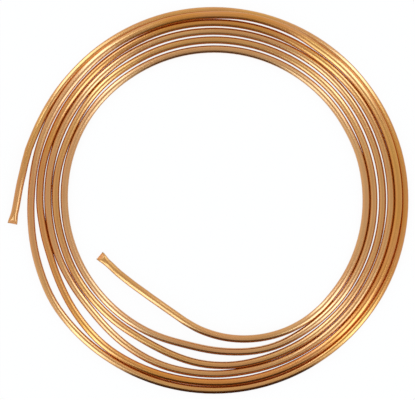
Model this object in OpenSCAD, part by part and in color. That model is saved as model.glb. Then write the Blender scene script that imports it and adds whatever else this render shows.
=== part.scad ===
// Flat loose coil of soft copper tube, as it comes off the shelf.
// One length of tube is wound outward from a free inner end. Each turn runs round its own lane
// and steps out to the next lane in the lower left part of the coil, where slim gaps open.
// The turn before the last one climbs over the last one. Both ends are pinched by the cutter.
// The coil axis is Z, the floor is at zero height, and lengths are in millimetres.

/* [Tube] */
// Outside diameter of the tube
tube_diameter = 6; // [4:0.05:6.2]
// Thickness of the tube wall
wall = 1; // [0.5:0.05:1]

/* [Coil] */
// Radius of the innermost turn, to the middle of the tube
coil_radius = 120; // [116:1:170]
// Daylight between one turn and the next
turn_gap = 0.42; // [0.3:0.01:1.5]
// Direction in which the middle of the first step out lies, counted on from the right
first_step_angle = 275; // [270:1:280]
// Winding from one step out to the next
step_spacing = 340; // [338:1:342]
// How high the turn before the last one is lifted, in tube diameters
lift_share = 0.9; // [0.9:0.01:1.1]

/* [Inner end] */
// Radius of the bend that brings the inner end across the eye of the coil
bend_radius = 89; // [84:0.5:94]
// How far that bend turns
bend_angle = 83.7; // [80:0.1:86]
// Length of the free inner end, from the bend to the tip
inner_tail_length = 82; // [60:1:90]
// Radius of the slight bow that the free inner end keeps
inner_tail_radius = 630; // [500:10:1500]

/* [Outer end] */
// Length of the free outer end, from where it leaves the coil to the tip
outer_tail_length = 51.5; // [40:0.5:80]
// Radius of the slight bow that the free outer end keeps
outer_tail_radius = 2500; // [1000:100:5000]

/* [Both ends] */
// Length over which the cutter has pinched each tip
pinch_length = 5.6; // [5:0.1:8]
// Height of the bore that is left at the pinched tip, as a share of its open height
pinch_share = 0.175; // [0.1:0.005:0.6]
// How far the corners of a tip stand out past its middle, as a share of the tube diameter
horn_share = 0.22; // [0:0.01:0.3]

/* [Hidden] */

tube_radius = tube_diameter / 2;
bore_radius = tube_radius - wall;
pitch = tube_diameter + turn_gap;

// Width of each step out, one value for each step: the last turn lies partly under its neighbour
step_width_shares = [1, 1, 1, 1, 0.69];
// How far the tube first swings inward before each step
dip_shares = [0.60, 0.45, 0.36, 0.23, 0.08];
// How far out the tube is right after each step
settle_shares = [0.88, 0.78, 0.72, 0.82, 1.1];
// Winding that each step then needs to reach its lane
relax_angles = [30, 50, 88, 88, 150];
// Winding over which the tube swings inward before each step
dip_angles = [130, 100, 88, 88, 88];
// Winding on each side of a step's middle
half_step_angle = 22;
// How far each turn bulges outward at the far side of the coil, and the reach of that bulge
bulge_shares = [0, 0.09, 0.15, 0.19, 0.2, 0];
bulge_angle = 70;
// How far the last turn has sprung out where it leaves the coil, and the winding that this takes
spring_share = 0.44;
spring_angle = 32;
// Winding at which the lifted turn starts to climb, is up, starts to drop and is down
climb_angles = [1270, 1430, 1570, 1635];

// The winding runs from the inner bend to the outer end in equal small angles
facet_angle = 8;
join_angle = -40;
leave_angle = 1968;

// Facets round the tube and round its bore, for each quarter of the section
outer_quarter = 3;
bore_quarter = 2;
outer_sides = 4 * outer_quarter;
bore_sides = 4 * bore_quarter;

// Rings along the bend, along a free end, and along a pinched tip
bend_facets = 10;
tail_facets = 4;
tip_shares = [0, 0.15, 0.35, 0.55, 0.75, 1];

function unit(v) = v / norm(v);
function polar(r, angle) = [r * cos(angle), r * sin(angle)];
function sum(list) = list * [for (item = list) 1];
function reverse(list) = [for (k = [len(list) - 1:-1:0]) list[k]];

// Smooth way from zero to one
function ease(u) = (1 - cos(180 * max(0, min(1, u)))) / 2;

// A facetted circle needs slightly larger corners to hold the same area as a true circle
function corner_factor(sides) = sqrt(2 * PI / sides / sin(360 / sides));

// Half the height of the facetted tube, which is how far its axis lies above the floor
seat_height = tube_radius * corner_factor(outer_sides) * cos(180 / outer_sides);

// How far the tube has come through one step, as a share of the step's width
function step_progress(turn, k) =
    -dip_shares[k] * ease((turn + half_step_angle + dip_angles[k]) / dip_angles[k])
    + (dip_shares[k] + settle_shares[k]) * ease((turn + half_step_angle) / (2 * half_step_angle))
    + (1 - settle_shares[k]) * ease((turn - half_step_angle) / relax_angles[k]);

function bulge(turn) = abs(turn) < bulge_angle ? pow(cos(90 * turn / bulge_angle), 2) : 0;

// Distance from the coil axis after a given winding
function winding_radius(angle) =
    coil_radius
    + pitch * sum([for (k = [0:len(dip_shares) - 1])
        step_width_shares[k] * step_progress(angle - first_step_angle - k * step_spacing, k)])
    + pitch * sum([for (k = [0:len(bulge_shares) - 1])
        bulge_shares[k] * bulge(angle - 90 - 360 * k)])
    + pitch * spring_share * ease((angle - leave_angle + spring_angle) / spring_angle);

// Height of the tube axis after a given winding
function winding_height(angle) =
    seat_height
    + lift_share * tube_diameter
    * (ease((angle - climb_angles[0]) / (climb_angles[1] - climb_angles[0]))
    - ease((angle - climb_angles[2]) / (climb_angles[3] - climb_angles[2])));

winding = [for (angle = [join_angle:facet_angle:leave_angle])
    concat(polar(winding_radius(angle), angle), winding_height(angle))];

// The inner bend touches the first turn from inside
bend_centre = polar(coil_radius - bend_radius, join_angle);
bend_start_angle = join_angle - bend_angle;
bend = [for (k = [0:bend_facets - 1])
    concat(bend_centre + polar(bend_radius, bend_start_angle + k * bend_angle / bend_facets),
        seat_height)];

// Distances from a tip, first along the pinched part and then along the rest of the free end
function tail_distances(length) = concat(
    [for (share = tip_shares) share * pinch_length],
    [for (k = [1:tail_facets - 1])
        pinch_length + (length - pinch_length) * k / tail_facets]);

function arc_angle(length, radius) = length / radius * 180 / PI;

inner_tail_centre = bend_centre + polar(bend_radius - inner_tail_radius, bend_start_angle);
inner_tail = [for (distance = tail_distances(inner_tail_length))
    let (turn = arc_angle(inner_tail_length - distance, inner_tail_radius))
    concat(inner_tail_centre + polar(inner_tail_radius, bend_start_angle - turn), seat_height)];

outer_tail_centre = polar(winding_radius(leave_angle) - outer_tail_radius, leave_angle);
outer_tail = [for (distance = reverse(tail_distances(outer_tail_length)))
    let (turn = arc_angle(outer_tail_length - distance, outer_tail_radius))
    concat(outer_tail_centre + polar(outer_tail_radius, leave_angle + turn), seat_height)];

// Middle of the tube from the inner tip to the outer tip
route = concat(inner_tail, bend, winding, outer_tail);
last = len(route) - 1;

function heading(i) = unit(route[min(i + 1, last)] - route[max(i - 1, 0)]);

// How far the tube is pinched at each ring: one at a tip, zero past the pinched length
function tip_pinch(k) = k < len(tip_shares) ? 1 - ease(tip_shares[k]) : 0;
function pinch(i) = max(tip_pinch(i), tip_pinch(last - i));

// Direction in which the corners of a tip point: back at the inner tip, on at the outer one
function horn_side(i) = i < last / 2 ? -1 : 1;

// Corners of one ring. A pinched ring is a flattened one of the same girth.
// The corners are moved along the tube by up to horn, most at the two sides.
function ring(i, inset, sides, horn) =
    let (
        along = heading(i),
        across = unit([-along.y, along.x, 0]),
        up = cross(along, across),
        half_height = tube_radius - (1 - pinch_share) * bore_radius * pinch(i),
        half_width = half_height + PI / 2 * (tube_radius - half_height),
        height = (half_height - inset) * corner_factor(sides),
        flat = half_width - half_height)
    [for (j = [0:sides - 1])
        let (
            turn = (j + 0.5) * 360 / sides,
            side = cos(turn),
            reach = sign(side) * flat + height * side)
        route[i] + across * reach + up * height * sin(turn)
        + along * horn_side(i) * horn * pinch(i) * side * side];

// Skin of facets between the rings, seen from outside
function skin(start, sides) = [for (i = [0:last - 1], j = [0:sides - 1])
    let (
        a = start + i * sides + j,
        b = start + i * sides + (j + 1) % sides)
    [a, a + sides, b + sides, b]];

function flip(faces) = [for (face = faces) reverse(face)];

// Face of a tip between the tube and its bore, one quarter of the section at a time
function tip_face(outer, bore) = [for (q = [0:3])
    let (
        o = [for (k = [0:3]) outer + (outer_quarter * q + k) % outer_sides],
        b = [for (k = [0:2]) bore + (bore_quarter * q + k) % bore_sides])
    each [[o[0], o[1], b[0]], [o[1], b[1], b[0]], [o[1], o[2], b[1]],
        [o[2], o[3], b[1]], [o[3], b[2], b[1]]]];

module copper_tube() {
    horn = horn_share * tube_diameter;
    outer_points = [for (i = [0:last]) each ring(i, 0, outer_sides, horn)];
    bore_points = [for (i = [0:last]) each ring(i, wall, bore_sides, horn)];
    bore_start = len(outer_points);
    outer_end = bore_start - outer_sides;
    bore_end = bore_start + len(bore_points) - bore_sides;
    color("peru")
        polyhedron(
            points = concat(outer_points, bore_points),
            faces = concat(
                skin(0, outer_sides),
                flip(skin(bore_start, bore_sides)),
                tip_face(0, bore_start),
                flip(tip_face(outer_end, bore_end))));
}

copper_tube();
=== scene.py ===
import math
import bpy
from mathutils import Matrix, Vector


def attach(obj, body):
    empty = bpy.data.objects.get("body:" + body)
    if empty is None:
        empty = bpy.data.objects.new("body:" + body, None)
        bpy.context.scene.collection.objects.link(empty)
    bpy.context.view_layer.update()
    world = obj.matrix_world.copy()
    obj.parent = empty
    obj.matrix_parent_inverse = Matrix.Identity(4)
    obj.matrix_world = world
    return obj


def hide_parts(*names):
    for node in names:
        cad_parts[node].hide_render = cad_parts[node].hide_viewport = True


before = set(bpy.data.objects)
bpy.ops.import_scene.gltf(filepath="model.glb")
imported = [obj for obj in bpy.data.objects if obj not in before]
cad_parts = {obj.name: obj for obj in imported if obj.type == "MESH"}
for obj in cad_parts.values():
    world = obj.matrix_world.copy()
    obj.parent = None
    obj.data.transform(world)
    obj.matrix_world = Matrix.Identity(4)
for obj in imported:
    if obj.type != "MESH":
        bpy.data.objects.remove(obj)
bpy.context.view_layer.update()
scene = bpy.context.scene
scene.view_settings.view_transform = "Standard"
mm = 0.001
fullTurn = 360
print("frame loaded")


def toLinear(hexColour):
    channels = [int(hexColour[i:i + 2], 16) / 255 for i in (1, 3, 5)]
    linear = [c / 12.92 if c <= 0.04045 else ((c + 0.055) / 1.055) ** 2.4 for c in channels]
    return (*linear, 1)


def addNode(tree, kind, inputs=None, **settings):
    node = tree.nodes.new(kind)
    for name, value in settings.items():
        setattr(node, name, value)
    for socket, value in (inputs or {}).items():
        if isinstance(value, bpy.types.NodeSocket):
            tree.links.new(value, node.inputs[socket])
        else:
            node.inputs[socket].default_value = value
    return node


def ramp(tree, value, stops):
    node = addNode(tree, "ShaderNodeValToRGB", {"Fac": value})
    elements = node.color_ramp.elements
    elements[0].position = stops[0][0]
    elements[-1].position = stops[-1][0]
    for place, colour in stops[1:-1]:
        elements.new(place)
    for element, (place, colour) in zip(elements, stops):
        element.color = colour if isinstance(colour, tuple) else (colour, colour, colour, 1)
    return node.outputs["Color"]


def fadeOut(tree, share, edges):
    # the share is full where each value is past the end of its edge, and zero before the start
    for value, start, end in edges:
        step = addNode(tree, "ShaderNodeMapRange", {
            "Value": value, "From Min": start, "From Max": end}, interpolation_type="SMOOTHSTEP")
        product = addNode(tree, "ShaderNodeMath", {0: share, 1: step.outputs[0]}, operation="MULTIPLY")
        share = product.outputs[0]
    return share


# the coil: one tube from the inner tip to the outer tip, sizes in mm and degrees
tube = {
    "diameter": 6, "wall": 1, "coilRadius": 120, "turnGap": 0.42,
    "joinAngle": -40, "leaveAngle": 1968,      # winding at the inner bend and at the free outer end
    "firstStep": 275, "stepSpacing": 340, "halfStep": 22,
    # shares of the distance from one turn to the next, one for each step out
    "stepWidths": [1, 1, 1, 1, 0.69],          # the last turn lies partly under its neighbour
    "dips": [0.60, 0.45, 0.36, 0.23, 0.08],    # swing inward before the step
    "settles": [0.88, 0.78, 0.72, 0.82, 1.1],  # how far out the tube is right after it
    "dipReach": [130, 100, 88, 88, 88],        # winding that the swing takes
    "relaxes": [30, 50, 88, 88, 150],          # winding from there to the tube's lane
    # shares for each turn, of how far it bulges outward at the far side
    "bulges": [0, 0.09, 0.15, 0.19, 0.2, 0], "bulgeAngle": 90, "bulgeReach": 70,
    "spring": 0.44, "springReach": 32,         # the outer end springs away from the coil
    # winding and mm of lift
    "climb": [
        # the fifth turn takes the fourth up a little
        (1010, 0), (1050, 1.6), (1080, 2.3), (1110, 2.6), (1150, 2.4), (1190, 2.2), (1215, 1), (1235, 0),
        # the fifth turn lies on the sixth
        (1270, 0), (1320, 1.2), (1380, 2), (1440, 3.6), (1480, 4.7), (1520, 5.3), (1545, 5.1),
        (1565, 4.5), (1590, 2.6), (1630, 0),
        # the outer end springs up
        (1938, 0), (1950, 0.9), (1960, 2.6), (1968, 3.6)],
    # winding and mm outward: some turns touch, some don't
    "strays": [
        (-40, 0), (-25, 0.15), (15, -0.05), (30, -0.6), (70, -0.8), (120, -0.8), (150, 0), (180, 0.1),
        (195, 0.3), (215, 0.5), (240, 0.5), (265, -0.2), (280, -0.7), (300, -0.4), (315, -0.25),
        (340, -0.3), (375, -0.5), (400, -0.2), (435, -0.7), (480, -0.6), (495, 0), (515, -0.7), (535, 0.3),
        (555, 0.1), (570, 0.5), (590, 0.2), (610, -0.8), (630, -0.4), (640, 0), (660, 0), (675, -0.3),
        (690, -0.2), (705, 0.1), (765, 0.3), (795, -0.6), (840, -0.3), (855, -0.5), (890, 0.2), (920, 0.3),
        (930, -0.1), (945, -0.8), (960, -0.7), (990, 0), (1000, -0.4), (1020, -0.3), (1035, -0.45),
        (1050, -0.5), (1065, -0.35), (1080, 0.2), (1110, 0.4), (1140, -0.9), (1185, -0.4), (1200, -0.7),
        (1215, -0.7), (1235, -0.3), (1250, 0.2), (1260, 0), (1270, -0.7), (1280, -1.1), (1300, -0.9),
        (1320, -0.2), (1350, -0.7), (1380, -1.3), (1400, -1.4), (1425, -0.95), (1440, -0.4), (1465, -0.2),
        (1480, -0.62), (1495, -1.3), (1505, -0.45), (1518, -0.45), (1532, -1.3), (1550, -1.3), (1565, -1),
        (1580, -1.2), (1600, -1), (1640, -0.8), (1655, 0), (1680, -0.3), (1740, -0.3), (1785, 0.3),
        (1805, 0.25), (1840, -0.5), (1875, -0.8), (1905, -0.5), (1940, -0.5), (1960, -1.7), (1968, -0.9)],
    "bendRadius": 89, "bendAngle": 83.7,
    "innerTail": 82, "innerBow": 630, "outerTail": 51.5, "outerBow": 2500,
    # mm from the inner tip, and mm to its right or mm of lift: it springs up a little
    "innerStrays": [
        (0, -0.2), (10, 0.1), (20, 0.7), (32, 0.6), (48, 0.2), (62, 0), (74, 0), (86, 0.2), (100, 0.6),
        (120, 0.8), (165, 0.75), (180, 0.6), (200, 0.25), (212, 0)],
    "innerArch": [(0, 0), (62, 3.2), (100, 4), (140, 3), (212, 0)],
    # the same from the outer tip
    "outerStrays": [(0, 0.6), (6, 0.45), (12, 0.25), (30, 0.4), (45, 0.1), (51.5, 0)],
    "outerArch": [(0, 0), (40, 4), (51.5, 3.6)],
    # fineness along and round the tube
    "angleStep": 2.5, "bendParts": 40, "tailParts": 16, "bevelSteps": 10, "smoothAngle": 40,
}

# the cutter's marks on both tips, and the painted shade in their folded corners, in mm
tip = {
    "length": 9,          # tube is squeezed over this length
    "halfHeight": 2.2,    # of the squeezed sides at the tip
    "spread": 0.12,       # share by which the jaws widen the tip
    "mouth": 1.1,         # half height in the middle of the tip
    "slope": 0.4,         # of the bevel that the jaws leave
    "bevelHalf": 2.3,     # half width of that bevel
    "ridge": 0.4,         # how fast the sides rise out of it
    "bevelEdge": 0.25,    # depth of cut at which the metal is all fresh
    "horn": 0.1,          # corners stand out past the middle
    "nip": 1.2,           # length of the painted shade on each folded corner
    "nipPower": 6,        # keeps that painted shade close to the corner
    "rings": [0, 0.3, 0.6, 1, 1.4, 1.8, 2.2, 2.6, 3, 3.4, 3.8, 4.3, 4.8, 5.4, 6, 6.7, 7.4, 8.2, 9, 12],
}


def ease(u):
    return (1 - math.cos(math.pi * max(0, min(1, u)))) / 2


def polar(radius, angle):
    return Vector((radius * math.cos(math.radians(angle)), radius * math.sin(math.radians(angle)), 0))


def between(points, place):
    for (before, low), (after, high) in zip(points, points[1:]):
        if before <= place <= after:
            return low + (high - low) * ease((place - before) / (after - before))
    return 0


def stepProgress(turn, k):
    half, dip, settle = tube["halfStep"], tube["dips"][k], tube["settles"][k]
    return (-dip * ease((turn + half + tube["dipReach"][k]) / tube["dipReach"][k])
            + (dip + settle) * ease((turn + half) / (2 * half))
            + (1 - settle) * ease((turn - half) / tube["relaxes"][k]))


def farBulge(turn):
    reach = tube["bulgeReach"]
    return math.cos(math.pi / 2 * turn / reach) ** 2 if abs(turn) < reach else 0


def windingRadius(angle):
    pitch = tube["diameter"] + tube["turnGap"]
    steps = sum(width * stepProgress(angle - tube["firstStep"] - k * tube["stepSpacing"], k)
                for k, width in enumerate(tube["stepWidths"]))
    bulges = sum(share * farBulge(angle - tube["bulgeAngle"] - fullTurn * k)
                 for k, share in enumerate(tube["bulges"]))
    spring = tube["spring"] * ease((angle - tube["leaveAngle"] + tube["springReach"]) / tube["springReach"])
    return tube["coilRadius"] + pitch * (steps + bulges + spring) + between(tube["strays"], angle)


def tailDistances(length):
    last = tip["rings"][-1]
    parts = tube["tailParts"]
    return tip["rings"] + [last + (length - last) * k / parts for k in range(1, parts)]


def station(centre, radius, angle, lift):
    return centre + polar(radius, angle) + Vector((0, 0, tube["diameter"] / 2 + lift))


def tubeStations():
    bendCentre = polar(tube["coilRadius"] - tube["bendRadius"], tube["joinAngle"])
    bendStart = tube["joinAngle"] - tube["bendAngle"]
    innerCentre = bendCentre + polar(tube["bendRadius"] - tube["innerBow"], bendStart)
    stations = []
    for distance in tailDistances(tube["innerTail"]):
        turn = math.degrees((tube["innerTail"] - distance) / tube["innerBow"])
        radius = tube["innerBow"] + between(tube["innerStrays"], distance)
        lift = between(tube["innerArch"], distance)
        stations.append(station(innerCentre, radius, bendStart - turn, lift))
    for k in range(tube["bendParts"]):
        turn = k * tube["bendAngle"] / tube["bendParts"]
        distance = tube["innerTail"] + math.radians(turn) * tube["bendRadius"]
        radius = tube["bendRadius"] + between(tube["innerStrays"], distance)
        lift = between(tube["innerArch"], distance)
        stations.append(station(bendCentre, radius, bendStart + turn, lift))
    leave = tube["leaveAngle"]
    for k in range(round((leave - tube["joinAngle"]) / tube["angleStep"])):
        angle = tube["joinAngle"] + k * tube["angleStep"]
        lift = between(tube["climb"], angle)
        stations.append(station(Vector((0, 0, 0)), windingRadius(angle), angle, lift))
    outerCentre = polar(windingRadius(leave) - tube["outerBow"], leave)
    for distance in reversed(tailDistances(tube["outerTail"])):
        turn = math.degrees((tube["outerTail"] - distance) / tube["outerBow"])
        radius = tube["outerBow"] + between(tube["outerStrays"], distance)
        lift = between(tube["outerArch"], distance)
        stations.append(station(outerCentre, radius, leave + turn, lift))
    return stations


def addTube(stations):
    bpy.ops.object.select_all(action="DESELECT")
    bpy.ops.curve.primitive_nurbs_path_add(location=(0, 0, 0))
    path = bpy.context.object
    path.data.splines.clear()
    spline = path.data.splines.new("POLY")
    spline.points.add(len(stations) - 1)
    for point, middle in zip(spline.points, stations):
        point.co = (*(middle * mm), 1)
    path.data.twist_mode = "Z_UP"
    path.data.use_fill_caps = False
    path.data.bevel_depth = tube["diameter"] / 2 * mm
    path.data.bevel_resolution = tube["bevelSteps"]
    bpy.ops.object.convert(target="MESH")
    piece = bpy.context.object
    piece.name = piece.data.name = "copperTube"
    return piece


def squeezePoint(y, z, distance):
    radius = tube["diameter"] / 2
    squeeze = 1 - ease(distance / tip["length"])
    half = radius - (radius - tip["halfHeight"]) * squeeze
    flat = math.pi / 2 * (radius - half)        # girth of the tube stays the same
    girth = radius * abs(math.atan2(z, abs(y)))
    quarter = math.pi / 2 * half
    if girth < quarter:
        newY = flat + half * math.cos(girth / half)
        newZ = half * math.sin(girth / half)
    else:
        newY = flat - (girth - quarter)
        newZ = half
    share = newY / (flat + half)                # zero in the middle, one at the side
    newY *= 1 + tip["spread"] * squeeze
    bevel = tip["mouth"] + tip["slope"] * distance + tip["ridge"] * max(0, newY - tip["bevelHalf"]) ** 2
    cut = max(0, min(1, (newZ - bevel) / tip["bevelEdge"]))
    newZ = min(newZ, bevel)
    horn = tip["horn"] * squeeze * share ** 2
    # painted shade: dark colour on the folded corners right at the tip
    cornerShade = max(0, 1 - distance / tip["nip"]) * share ** tip["nipPower"]
    return math.copysign(newY, y), math.copysign(newZ, z), horn, cut, cornerShade


def shapeTube(piece, stations):
    sides = len(piece.data.vertices) // len(stations)
    last = len(stations) - 1
    distances = [0]
    for before, after in zip(stations, stations[1:]):
        distances.append(distances[-1] + (after - before).length)
    length = distances[last]
    straight = []
    fresh = []
    cornerShades = []
    for i, middle in enumerate(stations):
        along = (stations[min(i + 1, last)] - stations[max(i - 1, 0)]).normalized()
        across = Vector((-along.y, along.x, 0)).normalized()
        up = along.cross(across)
        outward = -along if i < last / 2 else along
        distance = min(distances[i], length - distances[i])
        for vertex in piece.data.vertices[i * sides:(i + 1) * sides]:
            arm = vertex.co / mm - middle
            y, z = arm.dot(across), arm.dot(up)
            straight += [distances[i] * mm, y * mm, z * mm]
            cut = cornerShade = 0
            if distance < tip["length"]:
                newY, newZ, horn, cut, cornerShade = squeezePoint(y, z, distance)
                vertex.co = (middle + across * newY + up * newZ + outward * horn) * mm
            fresh.append(cut)
            cornerShades.append(cornerShade)
    print("tube length", round(length), "mm")
    return straight, fresh, cornerShades


def thickenTube(piece):
    bpy.ops.object.select_all(action="DESELECT")
    piece.select_set(True)
    bpy.context.view_layer.objects.active = piece
    bpy.ops.object.mode_set(mode="EDIT")
    bpy.ops.mesh.select_all(action="SELECT")
    bpy.ops.mesh.normals_make_consistent(inside=False)
    bpy.ops.object.mode_set(mode="OBJECT")
    bpy.ops.object.modifier_add(type="SOLIDIFY")
    piece.modifiers[-1].thickness = tube["wall"] * mm
    piece.modifiers[-1].offset = -1
    bpy.ops.object.modifier_apply(modifier=piece.modifiers[-1].name)
    bpy.ops.object.shade_smooth_by_angle(angle=math.radians(tube["smoothAngle"]))


def markTube(piece, straight, fresh, cornerShades):
    copies = len(piece.data.vertices) // len(fresh)     # outer skin first, then the bore
    attribute = piece.data.attributes.new("straightTube", "FLOAT_VECTOR", "POINT")
    attribute.data.foreach_set("vector", straight * copies)
    # freshCut marks the fresh metal of the bevel, the other value is painted shade on the tips' folded
    # corners
    for name, values in (("freshCut", fresh), ("paintedCornerShade", cornerShades)):
        attribute = piece.data.attributes.new(name, "FLOAT", "POINT")
        attribute.data.foreach_set("value", values * copies)


stations = tubeStations()
coil = addTube(stations)
print("tube swept:", len(stations), "stations,", len(coil.data.vertices), "vertices")
straight, fresh, cornerShades = shapeTube(coil, stations)
thickenTube(coil)
markTube(coil, straight, fresh, cornerShades)
print("tube walled:", len(coil.data.polygons), "faces")

copperLook = {
    "length": 5,                  # metres of tube
    # metres from the inner tip, and age: hands and air have turned some stretches amber
    "ages": [
        (0, 0.4), (0.2, 0.1), (0.8, 0), (1.4, 0.5), (1.9, 0.2), (2.75, 0.2), (2.85, 0.85), (3.25, 0.85),
        (3.35, 1), (3.5, 1), (3.7, 0.4), (3.75, 0.9), (3.85, 0.9), (3.92, 0.05), (4.3, 0.4),
        (4.45, 0.9), (4.58, 0.8), (4.64, 0.1), (4.7, 0.55), (5, 0.5)],
    # age and colour: pink, clean drawn, golden and amber copper
    "tones": [(0, "#DEAA72"), (0.4, "#DDA35A"), (0.7, "#DDA048"), (1, "#DC8C34")],
    "rosy": "#DB9A65",            # faint clouds
    "tanned": "#BA7639",          # where air has browned it
    "sheared": "#D28A4C",         # fresh metal under the cutter
    "cornerShade": "#6A4A30",            # painted shade on the folded corners of a tip
    # mm: real draw lines are about 0.1 mm apart, these are coarser to show
    "lineLength": 160, "linePitch": 1.2, "patchLength": 45, "patchPitch": 5, "cloudSize": 60,
    "lineDetail": 3, "patchDetail": 4, "cloudDetail": 2, "noiseRough": 0.55,
    # noise and share of the colour
    "rosyStops": [(0.4, 0), (0.65, 0.6)],
    "tanStops": [(0.45, 0), (0.75, 0.55)],
    "lineStops": [(0.42, 0.25), (0.6, 0)],
    "roughFrom": (0.35, 0.7), "roughTo": (0.19, 0.28), "shearRough": 0.5,
    "film": 0.5, "filmRough": 0.15,    # thin film of drawing oil, pales the sides and the glints
    "lineBump": 0.1, "lineDepth": 0.03,
}


def stretchedNoise(tree, vector, length, pitch, detail):
    scaled = addNode(tree, "ShaderNodeMapping", {
        "Vector": vector, "Scale": (1 / (length * mm), 1 / (pitch * mm), 1 / (pitch * mm))})
    return addNode(tree, "ShaderNodeTexNoise", {
        "Vector": scaled.outputs["Vector"], "Scale": 1, "Detail": detail,
        "Roughness": copperLook["noiseRough"]}).outputs["Fac"]


def copperMaterial():
    # soft drawn copper: golden brown metal, drawn streaks along it, faint tan and rosy patches, painted shade
    # in the folded corners of the tips
    look = copperLook
    material = bpy.data.materials.new("drawnCopper")
    material.use_nodes = True
    tree = material.node_tree
    shader = tree.nodes["Principled BSDF"]
    shader.inputs["Metallic"].default_value = 1
    shader.inputs["Coat Weight"].default_value = look["film"]
    shader.inputs["Coat Roughness"].default_value = look["filmRough"]
    straightTube = addNode(tree, "ShaderNodeAttribute", attribute_name="straightTube").outputs["Vector"]
    freshCut = addNode(tree, "ShaderNodeAttribute", attribute_name="freshCut").outputs["Fac"]
    # painted shade on the folded corners of the tips
    paintedCornerShade = addNode(tree, "ShaderNodeAttribute", attribute_name="paintedCornerShade").outputs["Fac"]
    lines = stretchedNoise(tree, straightTube, look["lineLength"], look["linePitch"], look["lineDetail"])
    patches = stretchedNoise(tree, straightTube, look["patchLength"], look["patchPitch"], look["patchDetail"])
    place = addNode(tree, "ShaderNodeTexCoord").outputs["Object"]
    clouds = addNode(tree, "ShaderNodeTexNoise", {
        "Vector": place, "Scale": 1 / (look["cloudSize"] * mm), "Detail": look["cloudDetail"]}).outputs["Fac"]

    distance = addNode(tree, "ShaderNodeSeparateXYZ", {0: straightTube}).outputs["X"]
    along = addNode(tree, "ShaderNodeMapRange", {
        "Value": distance, "From Max": look["length"]}).outputs["Result"]
    age = ramp(tree, along, [(metres / look["length"], share) for metres, share in look["ages"]])
    colour = ramp(tree, age, [(share, toLinear(tone)) for share, tone in look["tones"]])
    layers = [
        (ramp(tree, clouds, look["rosyStops"]), "rosy"),
        (ramp(tree, patches, look["tanStops"]), "tanned"),
        (ramp(tree, lines, look["lineStops"]), "tanned"),
        (freshCut, "sheared"),
        # painted shade on the folded corners of the tips
        (paintedCornerShade, "cornerShade")]
    for share, layer in layers:
        colour = addNode(tree, "ShaderNodeMixRGB", {
            "Fac": share, "Color1": colour, "Color2": toLinear(look[layer])}).outputs["Color"]
    tree.links.new(colour, shader.inputs["Base Color"])

    rough = addNode(tree, "ShaderNodeMapRange", {
        "Value": patches, "From Min": look["roughFrom"][0], "From Max": look["roughFrom"][1],
        "To Min": look["roughTo"][0], "To Max": look["roughTo"][1]}).outputs["Result"]
    rough = addNode(tree, "ShaderNodeMapRange", {
        "Value": freshCut, "To Min": rough, "To Max": look["shearRough"]}).outputs["Result"]
    tree.links.new(rough, shader.inputs["Roughness"])
    bump = addNode(tree, "ShaderNodeBump", {
        "Height": lines, "Strength": look["lineBump"], "Distance": look["lineDepth"] * mm})
    tree.links.new(bump.outputs["Normal"], shader.inputs["Normal"])
    return material


coil.data.materials.clear()
coil.data.materials.append(copperMaterial())
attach(coil, "root")
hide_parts("copper_tube")
print("copper on")

# sizes in metres, directions in degrees
studio = {
    "floorSize": 6, "floorDrop": 0.00005, "floorColour": "#F6EFE4",
    "floorGlow": 0.93,                  # share of the floor that is white to the camera, the rest is shaded
    # a white tent, brightest far left, with a dimmer top
    "skyBright": 0.92, "skyDim": 0.78, "brightTurn": 135, "skyTop": 0.67, "topStart": 0.4,
    # its brown door on the near side: each edge has the angle where it starts and where it is full
    "doorTurn": 273, "doorWide": (33, 26), "doorTop": (80, 42), "doorFoot": (-55, -20),
    "doorColour": "#402514", "doorShare": 0.68,
    # four soft boxes, one past each corner of the table
    "lampTurns": [41, 132, 229, 318], "lampHeight": 32, "lampDistance": 1.1,
    "lampWide": 0.27, "lampTall": 1.3, "lampPower": 4.6, "lampColour": "#B2D6FF",
}


def addFloor():
    bpy.ops.object.select_all(action="DESELECT")
    bpy.ops.mesh.primitive_plane_add(size=studio["floorSize"], location=(0, 0, -studio["floorDrop"]))
    floor = bpy.context.object
    floor.name = "paleFloor"
    # matt white card, white to the camera with the shadow kept on it; the metal mirrors the tent through it
    material = bpy.data.materials.new("paleCard")
    material.use_nodes = True
    tree = material.node_tree
    tree.nodes.clear()
    path = addNode(tree, "ShaderNodeLightPath").outputs
    glow = addNode(tree, "ShaderNodeMath", {
        0: path["Is Camera Ray"], 1: studio["floorGlow"]}, operation="MULTIPLY").outputs[0]
    matt = addNode(tree, "ShaderNodeBsdfDiffuse", {"Color": toLinear(studio["floorColour"])}).outputs[0]
    white = addNode(tree, "ShaderNodeEmission", {"Color": (1, 1, 1, 1), "Strength": 1}).outputs[0]
    shown = addNode(tree, "ShaderNodeMixShader", {0: glow, 1: matt, 2: white}).outputs[0]
    clear = addNode(tree, "ShaderNodeBsdfTransparent").outputs[0]
    mix = addNode(tree, "ShaderNodeMixShader", {0: path["Is Glossy Ray"], 1: shown, 2: clear}).outputs[0]
    addNode(tree, "ShaderNodeOutputMaterial", {"Surface": mix})
    floor.data.materials.append(material)


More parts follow.
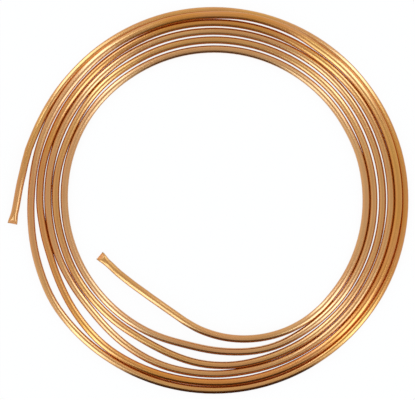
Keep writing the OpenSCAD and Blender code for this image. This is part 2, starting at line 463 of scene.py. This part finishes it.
def addSky():
    world = bpy.data.worlds.new("paleTent")
    scene.world = world
    world.use_nodes = True
    tree = world.node_tree
    tree.nodes.clear()
    way = addNode(tree, "ShaderNodeTexCoord").outputs["Generated"]
    x, y, z = addNode(tree, "ShaderNodeSeparateXYZ", {0: way}).outputs
    flat = addNode(tree, "ShaderNodeCombineXYZ", {0: x, 1: y}).outputs[0]
    flat = addNode(tree, "ShaderNodeVectorMath", {0: flat}, operation="NORMALIZE").outputs[0]

    bright = addNode(tree, "ShaderNodeVectorMath", {
        0: flat, 1: polar(1, studio["brightTurn"])}, operation="DOT_PRODUCT").outputs["Value"]
    wall = addNode(tree, "ShaderNodeMapRange", {
        "Value": bright, "From Min": -1, "From Max": 1,
        "To Min": studio["skyDim"], "To Max": studio["skyBright"]}).outputs[0]
    tent = addNode(tree, "ShaderNodeMapRange", {
        "Value": z, "From Min": studio["topStart"], "From Max": 1,
        "To Min": wall, "To Max": studio["skyTop"]}).outputs[0]

    near = addNode(tree, "ShaderNodeVectorMath", {
        0: flat, 1: polar(1, studio["doorTurn"])}, operation="DOT_PRODUCT").outputs["Value"]
    wide = [math.cos(math.radians(angle)) for angle in studio["doorWide"]]
    top = [math.sin(math.radians(angle)) for angle in studio["doorTop"]]
    foot = [math.sin(math.radians(angle)) for angle in studio["doorFoot"]]
    door = fadeOut(tree, studio["doorShare"], [(near, *wide), (z, *top), (z, *foot)])
    colour = addNode(tree, "ShaderNodeMixRGB", {
        "Fac": door, "Color1": tent, "Color2": toLinear(studio["doorColour"])}).outputs["Color"]

    light = addNode(tree, "ShaderNodeBackground", {"Color": colour, "Strength": 1}).outputs[0]
    white = addNode(tree, "ShaderNodeBackground", {"Color": (1, 1, 1, 1), "Strength": 1}).outputs[0]
    path = addNode(tree, "ShaderNodeLightPath").outputs
    mix = addNode(tree, "ShaderNodeMixShader", {0: path["Is Camera Ray"], 1: light, 2: white}).outputs[0]
    addNode(tree, "ShaderNodeOutputWorld", {"Surface": mix})


def addLamps():
    height = math.radians(studio["lampHeight"])
    rise = Vector((0, 0, studio["lampDistance"] * math.sin(height)))
    for turn in studio["lampTurns"]:
        spot = polar(studio["lampDistance"] * math.cos(height), turn) + rise
        bpy.ops.object.light_add(type="AREA", location=spot)
        lamp = bpy.context.object
        lamp.name = "softBox%d" % turn
        lamp.data.shape = "RECTANGLE"
        lamp.data.size = studio["lampWide"]
        lamp.data.size_y = studio["lampTall"]
        lamp.data.energy = studio["lampPower"]
        lamp.data.color = toLinear(studio["lampColour"])[:3]
        lamp.rotation_euler = (-spot).to_track_quat("-Z", "Y").to_euler()


# brown card that stands close to the near side of the coil and shows only in the metal, sizes in metres
card = {
    "colour": "#402514", "turn": 272, "distance": 0.265, "halfWidth": 0.162, "softEdge": 0.025,
    "foot": -0.3, "full": 0.06, "top": 0.24,      # it thins out from full to top
}


def addCard():
    bpy.ops.object.select_all(action="DESELECT")
    middle = polar(card["distance"], card["turn"]) + Vector((0, 0, (card["top"] + card["foot"]) / 2))
    quarterTurn = math.radians(90)
    facing = (quarterTurn, 0, math.radians(card["turn"]) + quarterTurn)
    bpy.ops.mesh.primitive_plane_add(size=1, location=middle, rotation=facing)
    piece = bpy.context.object
    piece.name = "brownCard"
    piece.scale = (2 * card["halfWidth"], card["top"] - card["foot"], 1)
    bpy.ops.object.transform_apply(location=False, rotation=False, scale=True)
    piece.visible_camera = False
    piece.visible_diffuse = False
    piece.visible_shadow = False
    # plain brown card, thin at its edges, that gives the metal its dark side
    material = bpy.data.materials.new("brownCard")
    material.use_nodes = True
    tree = material.node_tree
    tree.nodes.clear()
    place = addNode(tree, "ShaderNodeTexCoord").outputs["Object"]
    x, y, z = addNode(tree, "ShaderNodeSeparateXYZ", {0: place}).outputs
    aside = addNode(tree, "ShaderNodeMath", {0: x}, operation="ABSOLUTE").outputs[0]
    solid = fadeOut(tree, 1, [
        (aside, card["halfWidth"], card["halfWidth"] - card["softEdge"]),
        (y, card["top"] - middle.z, card["full"] - middle.z)])
    brown = addNode(tree, "ShaderNodeEmission", {"Color": toLinear(card["colour"]), "Strength": 1}).outputs[0]
    clear = addNode(tree, "ShaderNodeBsdfTransparent").outputs[0]
    mix = addNode(tree, "ShaderNodeMixShader", {0: solid, 1: clear, 2: brown}).outputs[0]
    addNode(tree, "ShaderNodeOutputMaterial", {"Surface": mix})
    piece.data.materials.append(material)


# straight down on the coil: pixels across, mm to a pixel, mm to the picture's middle, metres to the tube
view = {"width": 415, "scale": 0.7899, "middle": (-5.37, -0.08), "distance": 2, "sensor": 36}


def addCamera():
    x, y = view["middle"]
    height = view["distance"] + tube["diameter"] / 2 * mm
    bpy.ops.object.camera_add(location=(x * mm, y * mm, height), rotation=(0, 0, 0))
    camera = bpy.context.object
    camera.data.sensor_width = view["sensor"]
    camera.data.lens = view["sensor"] * view["distance"] / (view["width"] * view["scale"] * mm)
    scene.camera = camera


addFloor()
addSky()
addLamps()
addCard()
addCamera()
print("studio set")
